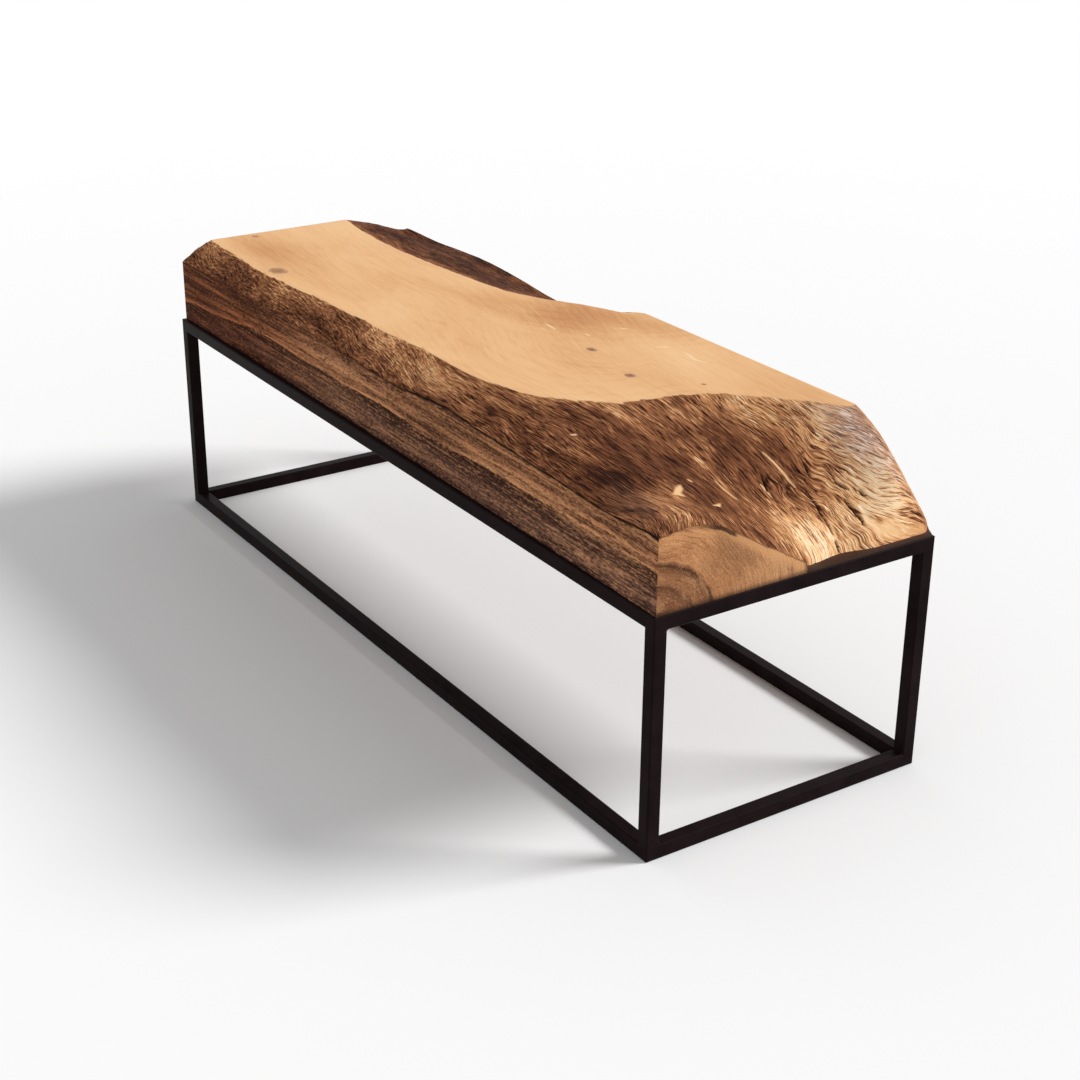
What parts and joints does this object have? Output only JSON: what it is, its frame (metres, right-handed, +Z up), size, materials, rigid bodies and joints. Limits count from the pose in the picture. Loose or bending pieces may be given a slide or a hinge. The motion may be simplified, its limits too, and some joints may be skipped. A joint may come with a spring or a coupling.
{
  "type": "log bench",
  "caption": "Rustic bench: a waney-edged log with a sanded flat top and one naturally sloping end, screwed to an open frame of welded square steel tube.",
  "frame": {"origin": "on the floor, under the middle of the frame", "axes": "+X along the bench towards its sloping near end, -Y out of its front, +Z up"},
  "size_m": [1.37, 0.45, 0.47],
  "materials": {
    "timber": "oiled, sanded on top",
    "frame_paint": "satin black paint",
    "zinc": "zinc plated"
  },
  "bodies": {
    "root": {"log": "timber", "top_rail_front": "frame_paint", "top_rail_back": "frame_paint", "top_rail_near": "frame_paint", "top_rail_far": "frame_paint", "bottom_rail_front": "frame_paint", "bottom_rail_back": "frame_paint", "bottom_rail_near": "frame_paint", "bottom_rail_far": "frame_paint", "leg_front_near": "frame_paint", "leg_front_far": "frame_paint", "leg_back_near": "frame_paint", "leg_back_far": "frame_paint", "corner_welds_top": "frame_paint", "corner_welds_bottom": "frame_paint", "tab_welds": "frame_paint", "tab_front_far": "frame_paint", "tab_front_near": "frame_paint", "tab_back_far": "frame_paint", "tab_back_near": "frame_paint", "coach_screws": "zinc", "washers": "zinc"}
  },
  "joints": []
}
